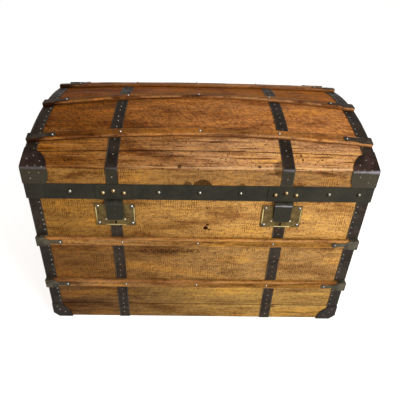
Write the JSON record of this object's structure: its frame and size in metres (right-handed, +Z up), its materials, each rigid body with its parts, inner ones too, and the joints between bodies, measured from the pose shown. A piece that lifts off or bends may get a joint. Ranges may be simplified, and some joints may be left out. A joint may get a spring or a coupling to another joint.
{
  "type": "dome top trunk",
  "caption": "Dome top trunk with a hinged, crowned lid, wooden slats, sheet-metal straps and bindings, drop hasps over lock plates, and end handles.",
  "frame": {"origin": "centre of the base box at floor level, under the bottom corner caps", "axes": "+X along the front to the viewer's right, -Y out of the front, +Z up"},
  "size_m": [0.928, 0.6008, 0.6305],
  "materials": {
    "base_wood": "oiled boards with a golden brown, stained finish",
    "dome_wood": "oiled boards, redder and darker",
    "slat_wood": "oiled slats, lighter on their edges",
    "dark_sheet": "dark browned sheet metal, satin",
    "grey_sheet": "dull grey-green sheet metal, satin",
    "brass_sheet": "aged brass, dull, brighter at the edges",
    "steel": "worn steel",
    "brass_stud": "polished by wear",
    "leather": "dark brown, waxed"
  },
  "bodies": {
    "base": {"back_boards": "base_wood", "back_slat_lower": "slat_wood", "back_slat_upper": "slat_wood", "back_straps": "dark_sheet", "base_slat_clamps": "grey_sheet", "base_slat_nails": "steel", "bottom_corner_caps_back": "dark_sheet", "bottom_corner_caps_front": "dark_sheet", "corner_bindings_back": "dark_sheet", "corner_bindings_front": "dark_sheet", "end_slats": "slat_wood", "floor_boards": "base_wood", "front_boards": "base_wood", "front_slat_lower": "slat_wood", "front_slat_upper": "slat_wood", "front_strap_left": "dark_sheet", "front_strap_right": "dark_sheet", "handle_end_caps": "dark_sheet", "handle_left": "leather", "handle_right": "leather", "hinge_leaves_base": "dark_sheet", "hinge_pins": "steel", "left_end_boards": "base_wood", "lock_cases": "grey_sheet", "lock_plate_left": "brass_sheet", "lock_plate_nails": "steel", "lock_plate_right": "brass_sheet", "right_end_boards": "base_wood"},
    "lid": {"dome_board_back_crown": "dome_wood", "dome_board_back_lower": "dome_wood", "dome_board_back_shoulder": "dome_wood", "dome_board_front_crown": "dome_wood", "dome_board_front_lower": "dome_wood", "dome_board_front_shoulder": "dome_wood", "dome_board_top": "dome_wood", "dome_slat_1": "slat_wood", "dome_slat_2": "slat_wood", "dome_slat_3": "slat_wood", "dome_slat_4": "slat_wood", "dome_slat_clamps": "dark_sheet", "dome_slat_nails": "steel", "hasp_pins": "steel", "hasp_plate_left": "dark_sheet", "hasp_plate_right": "dark_sheet", "hasp_studs": "brass_stud", "hinge_leaves_lid": "dark_sheet", "lid_binding_left": "dark_sheet", "lid_binding_right": "dark_sheet", "lid_corner_caps": "dark_sheet", "lid_end_board_left": "base_wood", "lid_end_board_right": "base_wood", "lid_lip_back": "base_wood", "lid_lip_front": "base_wood", "lid_strap_left": "dark_sheet", "lid_strap_right": "dark_sheet", "valance": "dark_sheet", "valance_studs": "steel"},
    "left_hasp": {"hasp_flap_left": "dark_sheet"},
    "right_hasp": {"hasp_flap_right": "dark_sheet"}
  },
  "joints": [
    {"name": "lid_hinge", "type": "hinge", "parent": "base", "child": "lid", "pos_m": [0, 0.2904, 0.45625], "axis": [-1, 0, 0], "range_deg": [0, 100]},
    {"name": "left_hasp_hinge", "type": "hinge", "parent": "lid", "child": "left_hasp", "pos_m": [-0.215, -0.2926, 0.439], "axis": [-1, 0, 0], "range_deg": [0, 110]},
    {"name": "right_hasp_hinge", "type": "hinge", "parent": "lid", "child": "right_hasp", "pos_m": [0.215, -0.2926, 0.439], "axis": [-1, 0, 0], "range_deg": [0, 110]}
  ]
}
